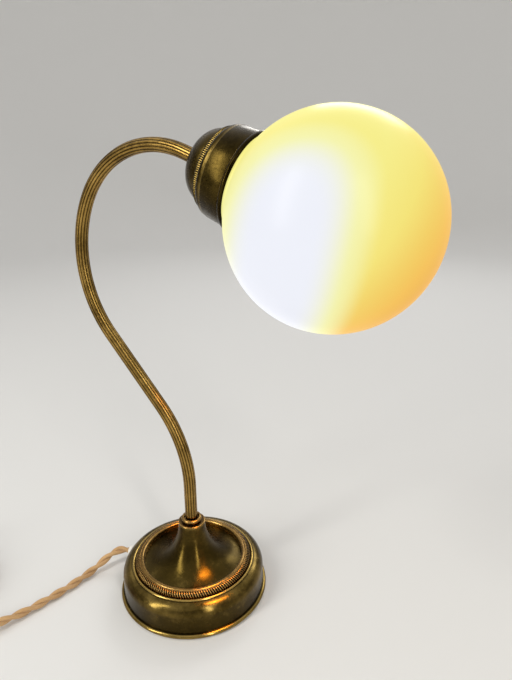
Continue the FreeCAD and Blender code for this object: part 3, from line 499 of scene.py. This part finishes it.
def cloth_material():
    """Braided cotton sleeve: two crossing sets of fine yarns, a little uneven in tone."""
    made, shader = material("cord_cloth", Roughness=0.78, Sheen_Weight=0.35, Sheen_Roughness=0.4)
    uv = node(made, "UVMap", uv_map="along").outputs["UV"]
    along, around, _ = node(made, "SeparateXYZ", {"Vector": uv}).outputs
    turns = math_node(made, "MULTIPLY", around, 2 * math.pi * YARNS_ROUND)
    steps = math_node(made, "MULTIPLY", along, 2 * math.pi / YARN_PITCH)
    one = math_node(made, "SINE", math_node(made, "ADD", steps, turns))
    two = math_node(made, "SINE", math_node(made, "SUBTRACT", steps, turns))
    braid = math_node(made, "MULTIPLY", one, two)
    weave = node(made, "MapRange", {"Value": braid, "From Min": -1.0, "From Max": 1.0}).outputs[0]
    cloud = noise(made, scale=55.0, detail=4.0, roughness=0.6)
    yarn = noise(made, scale=2600.0, detail=2.0, roughness=0.7)
    tone = math_node(made, "MULTIPLY", weave, 0.45)
    tone = plus_share(made, tone, cloud, 0.55)
    tone = plus_share(made, tone, yarn, 0.25, clamp=True)
    link(made, ramp(made, tone, [(0.15, (0.21, 0.105, 0.036)), (0.5, (0.47, 0.265, 0.105)),
                                 (0.9, (0.70, 0.46, 0.23))]), shader.inputs["Base Color"])
    bump(made, shader, plus_share(made, weave, yarn, 0.5), strength=0.55, distance=0.00022)
    return made


cloth = cloth_material()
GLAND_AZIMUTH = math.radians(189)
GLAND_HEIGHT = 15.5
GLAND_REACH = 66.0
GLAND_RUN_OUT, SWITCH_RUN_OUT, COIL_RUN_IN = 4.5, 12, 21
SWITCH_AZIMUTH = math.radians(235)
SWITCH_HALF_LENGTH = 30
SWITCH_PLACE = np.array([-134.0, -156.0, 7.0])
gland_out = np.array([math.cos(GLAND_AZIMUTH), math.sin(GLAND_AZIMUTH), 0.0])
gland_exit = gland_out * GLAND_REACH + np.array([0, 0, GLAND_HEIGHT])
switch_along = np.array([math.cos(SWITCH_AZIMUTH), math.sin(SWITCH_AZIMUTH), 0.0])
switch_entry = SWITCH_PLACE - switch_along * SWITCH_HALF_LENGTH
switch_exit = SWITCH_PLACE + switch_along * SWITCH_HALF_LENGTH
lead_route = [
    gland_exit,
    gland_exit + gland_out * GLAND_RUN_OUT,
    (-75.8, -14.5, 14.5),
    (-80.4, -20.0, 12.0),
    (-83.6, -27.0, 8.4),
    (-86.3, -35.9, 5.0),
    (-89.0, -47.6, 3.7),
    (-91.2, -62.0, 3.6),
    (-95.6, -78.2, 3.6),
    (-100.4, -95.0, 3.7),
    (-105.2, -109.5, 5.2),
    switch_entry - switch_along * SWITCH_RUN_OUT,
    switch_entry,
]
COIL_CENTRE = np.array([-198.0, -128.0, 0.0])
COIL_OUTER, COIL_PITCH, COIL_LOW, LAYER_GAP, LAYER_TURNS = 47.6, 7.7, 4.6, 7.6, 2.5
COIL_HIGH = COIL_LOW + LAYER_GAP
PLUG_THICKNESS, PLUG_CLEARANCE = 13.7, 0.2
PLUG_HEIGHT = COIL_HIGH + CORD_DIAMETER / 2 + PLUG_THICKNESS / 2 + PLUG_CLEARANCE
coil_start = COIL_CENTRE + np.array([-COIL_OUTER, 0, COIL_LOW])
link_route = [
    switch_exit,
    switch_exit + switch_along * SWITCH_RUN_OUT,
    (-175.0, -200.0, 4.4),
    (-198.0, -201.0, 3.6),
    (-220.0, -190.5, 3.6),
    (-236.5, -171.0, 4.0),
    coil_start + np.array([0, -COIL_RUN_IN, 0]),
]
tail_route = [COIL_CENTRE + np.array(p) for p in (
    (COIL_OUTER, -13.0, COIL_HIGH),
    (43.0, -25.2, 15.4),
    (33.8, -34.4, 19.4),
    (21.2, -37.8, PLUG_HEIGHT - 0.5),
    (8.6, -35.2, PLUG_HEIGHT),
    (-1.3, -27.5, PLUG_HEIGHT),
    (-7.3, -17.1, PLUG_HEIGHT),
)]


def coil_route(per_turn=16):
    """Control points of the coil: inwards in the lower layer, up in the last turn, and out again."""
    climb = 2 * math.pi * LAYER_TURNS
    last = 2 * (climb + math.pi / 2)  # the climb takes half a turn
    count = round(last / (2 * math.pi) * per_turn)
    swell = 1 / math.cos(math.pi / per_turn)**2  # the curve runs inside its control points
    points = []
    for i in range(count + 1):
        angle = last * i / count
        inward = min(angle, last - angle)
        radius = (COIL_OUTER - COIL_PITCH * inward / (2 * math.pi)) * (1 + (swell - 1) * 0.5)
        share = min(max((angle - climb) / math.pi, 0), 1)
        height = COIL_LOW + LAYER_GAP * (1 - math.cos(math.pi * share)) / 2
        on = math.pi - angle
        points.append(COIL_CENTRE + np.array([math.cos(on) * radius, math.sin(on) * radius, height]))
    return points


lead, lead_line = twisted_cord("cord_lead_cloth", lead_route, resolution=24, replaced=["cord_lead"])
run, run_line = twisted_cord("cord_run_cloth", link_route + coil_route() + tail_route, resolution=10,
                             replaced=["cord_link", "cord_coil", "cord_tail"], start_phase=0.7)

# ---------------------------------------------------------------- base
BASE_SEGMENTS, COLLAR_SEGMENTS, TOOTH_SEGMENTS = 256, 128, 6
upright = Matrix()

turned("base_shell_spun", closed_outline(
    (60.5, 0.4), (62.2, 0.4),
    ((64.0, 0.4), (64.0, 2.2)),
    ((64.0, 4.0), (62.2, 4.0)),
    (61.35, 4.15),
    (61.3, 19.0),
    ((61.3, 27.9), (53.2, 27.9)),
    (53.0, 27.9),
    ((53.0, 29.0), (51.9, 29.0)),
    ((50.8, 29.0), (50.8, 27.9)),
    (50.8, LEDGE), (38.0, LEDGE), (38.0, 26.4), (52.4, 26.4),
    ((60.5, 26.4), (60.5, 19.0)),
    ease=0.12), BASE_SEGMENTS, upright, brass_spun, ["base_shell"])

TRUMPET_FLANGE, SHEET = 44.0, 0.8
PLAY = 0.02  # air under the pieces that lie on the ledge
turned("base_trumpet_spun", closed_outline(
    (TRUMPET_FLANGE, LEDGE + PLAY), (TRUMPET_FLANGE, LEDGE + SHEET), (41.0, LEDGE + SHEET),
    ((11.4, LEDGE + SHEET), (11.4, THROAT_HEIGHT)),
    (10.6, THROAT_HEIGHT),
    ((10.6, LEDGE + PLAY), (41.0, LEDGE + PLAY)),
    steps=48, ease=0.1), BASE_SEGMENTS, upright, brass_spun, ["base_trumpet"])


def dense(profile, pitch):
    """The same profile with points no further apart than the pitch."""
    out = [profile[0]]
    for a, b in zip(profile, profile[1:]):
        count = max(1, math.ceil(np.linalg.norm(b - a) / pitch))
        out += [a + (b - a) * i / count for i in range(1, count + 1)]
    return np.array(out)


KNURL_TEETH, KNURL_DEPTH, KNURL_SLANT = 150, 0.45, 1.1
KNURL_INSIDE, KNURL_BOTTOM = 46.9, 28.4
ring_profile = dense(closed_outline(
    (42.4, LEDGE + SHEET), (44.1, LEDGE + SHEET), (44.1, LEDGE + PLAY), (50.2, LEDGE + PLAY),
    (50.2, 28.8),
    ((50.2, 32.5), (46.3, 32.5)),
    (46.0, 32.1),
    ((46.0, 33.0), (44.2, 33.0)),
    ((42.4, 33.0), (42.4, 31.2)),
    ease=0.1), pitch=0.35)
knurled = np.array([1.0 if r > KNURL_INSIDE and z > KNURL_BOTTOM else 0.0 for r, z in ring_profile])
knurled[1:-1] = (knurled[:-2] + 2 * knurled[1:-1] + knurled[2:]) / 4
turned("base_knurled_ring", ring_profile, KNURL_TEETH * TOOTH_SEGMENTS, upright, brass_warm,
       ["base_milled_ring"], teeth=(KNURL_TEETH, KNURL_DEPTH, KNURL_SLANT, knurled))

turned("neck_collar_turned", closed_outline(
    (4.9, 62.0), (10.5, 62.0), (10.5, THROAT_HEIGHT), (10.9, THROAT_HEIGHT),
    ((11.4, THROAT_HEIGHT), (11.4, 65.5)),
    ((11.4, COLLAR_SEAT), (10.9, COLLAR_SEAT)),
    (7.9, COLLAR_SEAT), (7.9, 67.0),
    ((8.7, 67.0), (8.7, 68.5)),
    ((8.7, 70.0), (7.2, 70.0)),
    (6.5, 70.0), (6.5, 68.0), (5.3, 68.0), (5.3, COLLAR_SEAT), (4.9, COLLAR_SEAT),
    ease=0.15), COLLAR_SEGMENTS, upright, brass_warm, ["neck_collar"])

# ---------------------------------------------------------------- neck
neck_points, neck_headings = walk((0, 0, COLLAR_SEAT), math.pi / 2, [
    (100.0 - COLLAR_SEAT,), (105.0, 41.0), (72.5,), (95.0, -70.0), (76.5, -82.0), (12.6,)])
neck_end = Vector(neck_points[-1])
REED_SAMPLES = 10
around = np.arange(REEDS * REED_SAMPLES) / (REEDS * REED_SAMPLES) * 2 * math.pi
share = (np.arange(REEDS * REED_SAMPLES) % REED_SAMPLES) / REED_SAMPLES
crest = np.sqrt(np.clip(1 - (2 * share - 1)**2, 0, 1))
reed = ROOT_RADIUS + (CREST_RADIUS - ROOT_RADIUS) * crest


def neck_rows(points, headings, radii):
    rows = []
    for place, heading, radius in zip(points, headings, radii):
        inward = np.array([math.sin(heading), 0, -math.cos(heading)])
        ring = place + radius[:, None] * (np.cos(around)[:, None] * inward
                                          + np.sin(around)[:, None] * np.array([0, 1.0, 0]))
        rows.append(ring)
    return rows


def plain(radius):
    return np.full(REEDS * REED_SAMPLES, radius)


# one closed line: the foot's spigot, the reeds outside, the cup's spigot and the bore back again
FOOT_END, FOOT_EDGE = 15.0, 15.4
TIP_EDGE, TIP_END = 8.6, 9.0
foot_line = [np.array([0, 0, z]) for z in (FOOT_END, FOOT_END, FOOT_EDGE, COLLAR_SEAT, COLLAR_SEAT)]
foot_radii = [plain(BORE_RADIUS), plain(SPIGOT_EDGE), plain(SPIGOT_RADIUS), plain(SPIGOT_RADIUS), reed]
onward = np.array([math.cos(neck_headings[-1]), 0, math.sin(neck_headings[-1])])
tip_line = [neck_points[-1] + onward * reach for reach in (0.0, 0.0, TIP_EDGE, TIP_END, TIP_END)]
tip_radii = foot_radii[::-1]
bore_line = neck_points[::-3]
rows = np.array(neck_rows(
    foot_line + list(neck_points) + tip_line + list(bore_line),
    [math.pi / 2] * len(foot_line) + list(neck_headings) + [neck_headings[-1]] * len(tip_line)
    + list(neck_headings[::-3]),
    foot_radii + [reed] * len(neck_points) + tip_radii + [plain(BORE_RADIUS)] * len(bore_line))) * MM
wear = np.tile(CREST_WEAR * crest - REED_SINK, (len(rows), 1))
add("neck_reeded", grid_mesh("neck_reeded", rows, True, wear), "stand", brass_tube,
    ["neck_tube"])

# ---------------------------------------------------------------- cup
axis = Vector((math.cos(HEAD_DIP), 0, -math.sin(HEAD_DIP)))
cross = Vector((math.sin(HEAD_DIP), 0, math.cos(HEAD_DIP)))
head = frame_at(neck_end, cross * -1, Vector((0, 1, 0)), axis)
HEAD_SEGMENTS = 192

turned("cup_dome_spun", closed_outline(
    (4.9, 0), (7.0, 0),
    ((25.9, 0), (25.9, 17.3)),
    (25.1, 17.3),
    ((25.1, 0.8), (7.0, 0.8)),
    (4.9, 0.8), steps=36, ease=0.1), HEAD_SEGMENTS, head, brass, ["cup_dome"], wear_sign=-1)

BAND_TEETH, BAND_DEPTH, BAND_INSIDE = 135, 0.45, 26.9
band_profile = dense(closed_outline(
    (25.4, 17.3), (27.0, 17.3),
    ((28.2, 17.3), (28.2, 18.3)),
    (28.2, 19.9),
    ((28.2, 20.4), (27.7, 20.4)),
    (25.4, 20.4), ease=0.1), pitch=0.3)
banded = np.array([1.0 if r > BAND_INSIDE else 0.0 for r, z in band_profile])
turned("cup_knurled_band", band_profile, BAND_TEETH * TOOTH_SEGMENTS, head, brass, ["cup_milled_ring"],
       teeth=(BAND_TEETH, BAND_DEPTH, 0.0, -banded))

turned("cup_skirt_spun", closed_outline(
    (14.2, 19.1), (24.4, 19.1), (24.4, 20.5), (28.3, 20.5),
    ((31.3, 20.5), (31.3, 23.6)),
    (31.5, 25.6), (31.85, 25.75), (32.5, 39.6),
    (32.15, 39.6), (32.15, 40.3), (32.8, 40.3),
    ((34.2, 40.3), (34.2, 42.1)),
    ((34.2, 43.7), (33.1, 43.7)),
    (32.7, 43.7), (31.6, 39.6), (30.4, 24.4),
    ((30.4, 21.3), (28.0, 21.3)),
    (25.3, 21.3), (25.3, 20.0), (14.2, 20.0),
    steps=16, ease=0.12), HEAD_SEGMENTS, head, brass, ["cup_skirt"], wear_sign=-1)

# ---------------------------------------------------------------- globe
NECK_BEND, RIM_START, RIM_END, RIM_OUTSIDE, RIM_INSIDE = 4.0, 25.4, 24.8, 27.9, 26.9
BALL_STEPS = 90


def globe_profile():
    """Outside of the ball from its far pole to the neck, and the inside back again."""
    def side(radius, neck):
        start = math.asin((neck + NECK_BEND) / radius)
        ball = [(radius * math.sin(a), GLOBE_DISTANCE - radius * math.cos(a))
                for a in np.linspace(math.pi, start, BALL_STEPS)]
        corner = GLOBE_DISTANCE - math.sqrt(radius**2 - neck**2)
        ending = outline(ball[-1], ((neck, corner), (neck, corner - NECK_BEND)), (neck, RIM_START),
                         steps=10, ease=0.0)
        return ball + [tuple(p) for p in ending[1:]]
    outer = side(GLOBE_RADIUS, GLOBE_NECK)
    inner = side(GLOBE_RADIUS - GLOBE_WALL, GLOBE_NECK - GLOBE_WALL)
    return np.array(outer + [(RIM_OUTSIDE, RIM_END), (RIM_INSIDE, RIM_END)] + inner[::-1])


globe_centre = neck_end + axis * GLOBE_DISTANCE
# the globe's colour is a painted glow: the bulb's light is painted into the glass's emission, white where
# it falls strongest, low on the left, and warming to orange low on the right and at the back, fixed to the
# glass so that it turns with it
opal, opal_shader = material("opal_glass", Roughness=0.32, IOR=1.45, Specular_IOR_Level=0.18,
                             Emission_Strength=0.90)
coords = node(opal, "TexCoord").outputs["Object"]
from_centre = node(opal, "VectorMath", {0: coords, 1: tuple(globe_centre * MM)}, operation="SUBTRACT")
unit = node(opal, "VectorMath", {0: from_centre.outputs[0], "Scale": 1 / (GLOBE_RADIUS * MM)},
            operation="SCALE").outputs[0]
drift = math_node(opal, "SUBTRACT", noise(opal, scale=9.0, detail=2.0, roughness=0.5), 0.5)
drift = math_node(opal, "MULTIPLY", drift, 0.12)


def toward(across, height, near):
    """How far a point of the globe lies in a direction of the picture, from -1 to 1."""
    way = (right * across + up * height - CAMERA_FORWARD * near).normalized()
    return node(opal, "VectorMath", {0: unit, 1: tuple(way)}, operation="DOT_PRODUCT").outputs["Value"]


def falloff(value, shift, size, power):
    """0 where the value is minus the shift, and 1 at the size's distance on both sides."""
    scaled = math_node(opal, "MULTIPLY", math_node(opal, "ADD", value, shift), 1 / size)
    return math_node(opal, "POWER", math_node(opal, "ABSOLUTE", scaled), power)


# 0 in the middle of the painted white glare, low on the left of the picture, and 1 well out of it
off_glare = math_node(opal, "ADD", falloff(toward(1, -0.18, 0), shift=0.45, size=0.47, power=2.0),
                      falloff(toward(0, 1, 0), shift=0.52, size=0.95, power=4.0))
off_glare = math_node(opal, "MULTIPLY", math_node(opal, "ADD", off_glare, drift), 1 / 3, clamp=True)
# 0 to 1 towards the warmest part of the painted glow, low on the right and far from the viewer
shade = math_node(opal, "ADD", toward(0.75, -0.45, -0.48), drift)
shade = node(opal, "MapRange", {"Value": shade, "From Min": -1.0, "From Max": 1.0}).outputs[0]
# colours of the painted glow, from the white glare through cream and yellow to orange
FULL, NONE = (1, 1, 1), (0, 0, 0)
WHITE, CREAM, YELLOW = (0.89, 0.91, 0.99), (0.94, 0.94, 0.46), (0.95, 0.88, 0.26)
LEMON, AMBER = (0.95, 0.81, 0.20), (0.94, 0.67, 0.14)
HONEY, ORANGE = (0.94, 0.55, 0.09), (0.83, 0.40, 0.03)
BODY_SHARE = (0.05, 0.05, 0.05)
warm = ramp(opal, shade, [(0.30, YELLOW), (0.46, LEMON), (0.58, AMBER), (0.70, HONEY), (0.84, ORANGE),
                          (1.0, AMBER)])
painted_glow = mix(opal, ramp(opal, off_glare, [(0.30, FULL), (0.80, NONE)], "EASE"), warm, CREAM)
painted_glow = mix(opal, ramp(opal, off_glare, [(0.07, FULL), (0.43, NONE)], "EASE"), painted_glow, WHITE)
link(opal, painted_glow, opal_shader.inputs["Emission Color"])
# the base colour is a small share of the same painted glow
link(opal, mix(opal, 1.0, painted_glow, BODY_SHARE, "MULTIPLY"), opal_shader.inputs["Base Color"])
rows, _ = lathe(globe_profile(), HEAD_SEGMENTS)
add("globe_blown", grid_mesh("globe_blown", placed(rows, head)), "globe", opal, ["globe"])

# ---------------------------------------------------------------- gland and plug sleeve
GLAND_SEGMENTS, SLEEVE_SEGMENTS = 64, 48
vertical = Vector((0, 0, 1))
gland_way = Vector(gland_out)
turned("cord_gland_moulded", closed_outline(
    (2.75, 56.0), (4.9, 56.0), (4.9, 61.3), (6.2, 61.3), (6.2, 62.4),
    ((6.2, 63.1), (5.4, 63.1)),
    (4.9, 63.3),
    ((4.9, 66.0), (3.9, 66.0)),
    (2.75, 66.0), steps=8, ease=0.2), GLAND_SEGMENTS,
    frame_at(Vector((0, 0, GLAND_HEIGHT)), vertical, gland_way.cross(vertical), gland_way),
    white_plastic, ["cord_gland"])

SLEEVE_LENGTH, SLEEVE_BORE, SLEEVE_THIN, SLEEVE_THICK = 20.0, 2.9, 4.2, 5.2
SLEEVE_RIBS, RIB_START, RIB_PITCH = 6, 1.2, 3.1
CONE_START, CONE_GAIN = 4.3, 0.9
RIB_STEPS = (-0.7, 0.0), (-0.7, 0.9), (0.1, 1.1), (0.1, 2.9)  # a groove and a rib, from the cone


def sleeve_profile():
    """A slightly conical sleeve with grooves between its ribs."""
    points = [(SLEEVE_BORE, 0.0), (SLEEVE_THIN, 0.0)]
    for i in range(SLEEVE_RIBS):
        low = RIB_START + i * RIB_PITCH
        radius = CONE_START + CONE_GAIN * (i + 0.5) / SLEEVE_RIBS
        points += [(radius + out, low + along) for out, along in RIB_STEPS]
    points += [(SLEEVE_THICK, SLEEVE_LENGTH), (SLEEVE_BORE, SLEEVE_LENGTH)]
    return soften([np.array(p) for p in points], ease=0.15)


plug_way = Vector(tail_route[-1] - tail_route[-2]).normalized()
plug_place = frame_at(Vector(tail_route[-1]), vertical, vertical.cross(plug_way), plug_way)
rows, _ = lathe(sleeve_profile(), SLEEVE_SEGMENTS, closed=True)
add("plug_sleeve_ribbed", grid_mesh("plug_sleeve_ribbed", placed(rows, plug_place), True), "stand",
    white_plastic, ["plug_sleeve"])

# ---------------------------------------------------------------- floor and light
STAGE_RADIUS, STAGE_BEND, STAGE_WALL, STAGE_SEGMENTS = 3.0, 1.2, 2.2, 96
BEND_FIRST, BEND_STEPS = 0.08, 20
bend_start = STAGE_RADIUS - STAGE_BEND
stage_profile = [(r, 0.0) for r in (0.001, 0.3, 0.8, 1.4, bend_start)]
stage_profile += [(bend_start + STAGE_BEND * math.sin(a), STAGE_BEND * (1 - math.cos(a)))
                  for a in np.linspace(BEND_FIRST, math.pi / 2, BEND_STEPS)]
stage_profile.append((STAGE_RADIUS, STAGE_WALL))
rows, _ = lathe(stage_profile, STAGE_SEGMENTS)
floor = bpy.data.objects.new("floor", grid_mesh("floor", rows))
bpy.context.scene.collection.objects.link(floor)
paper, _ = material("paper", Base_Color=(0.78, 0.775, 0.765, 1), Roughness=0.9, Specular_IOR_Level=0.2)
floor.data.materials.append(paper)

# the studio's light, and the plain grey that is seen directly, in reflections and through glass
world = bpy.data.worlds.new("studio")
bpy.context.scene.world = world
world.use_nodes = True
ambient = world.node_tree.nodes["Background"]
ambient.inputs["Color"].default_value = (1.0, 0.99, 0.97, 1)
ambient.inputs["Strength"].default_value = 0.55
seen = node(world, "Background", {"Color": (0.90, 0.90, 0.90, 1), "Strength": 1.0})
rays = node(world, "LightPath").outputs
looked_at = math_node(world, "ADD", rays["Is Camera Ray"], rays["Is Glossy Ray"])
looked_at = math_node(world, "ADD", looked_at, rays["Is Transmission Ray"], clamp=True)
blend = node(world, "MixShader", {"Fac": looked_at, 1: ambient.outputs[0], 2: seen.outputs[0]})
link(world, blend.outputs[0], world.node_tree.nodes["World Output"].inputs["Surface"])


def area_light(name, place, way, power, colour):
    """An area light that shines along a direction, its shape and size still to be set."""
    data = bpy.data.lights.new(name, "AREA")
    data.energy = power
    data.color = colour
    lamp = bpy.data.objects.new(name, data)
    lamp.location = place
    lamp.rotation_euler = way.to_track_quat("-Z", "Y").to_euler()
    bpy.context.scene.collection.objects.link(lamp)
    return lamp


def softbox(name, place, aim, size, power, colour=(1, 1, 1)):
    lamp = area_light(name, place, Vector(aim) - Vector(place), power, colour)
    lamp.data.shape = "RECTANGLE"
    lamp.data.size, lamp.data.size_y = size


softbox("key", place=(-0.62, -1.25, 1.0), aim=(0, 0, 0.10), size=(0.26, 1.5), power=14.5,
        colour=(1, 0.99, 0.94))
softbox("side", place=(1.1, -0.75, 0.8), aim=(0, 0, 0.08), size=(0.16, 1.3), power=7,
        colour=(1, 0.96, 0.90))
softbox("back", place=(-0.2, 1.5, 1.2), aim=(0, 0, 0.2), size=(0.9, 0.4), power=5.5)

# the globe's own light on the base, from just under the glass
GLOW_AIM, GLOW_DISTANCE = Vector((0.018, -0.004, 0.040)), 0.071
toward_base = (GLOW_AIM - globe_centre * MM).normalized()
glow = area_light("globe_glow", globe_centre * MM + toward_base * GLOW_DISTANCE, toward_base,
                  power=0.08, colour=(1.0, 0.42, 0.08))
glow.data.shape, glow.data.size, glow.data.spread = "DISK", 0.09, math.radians(60)
glow.visible_camera = glow.visible_diffuse = False

bpy.context.scene.view_settings.view_transform = "Standard"
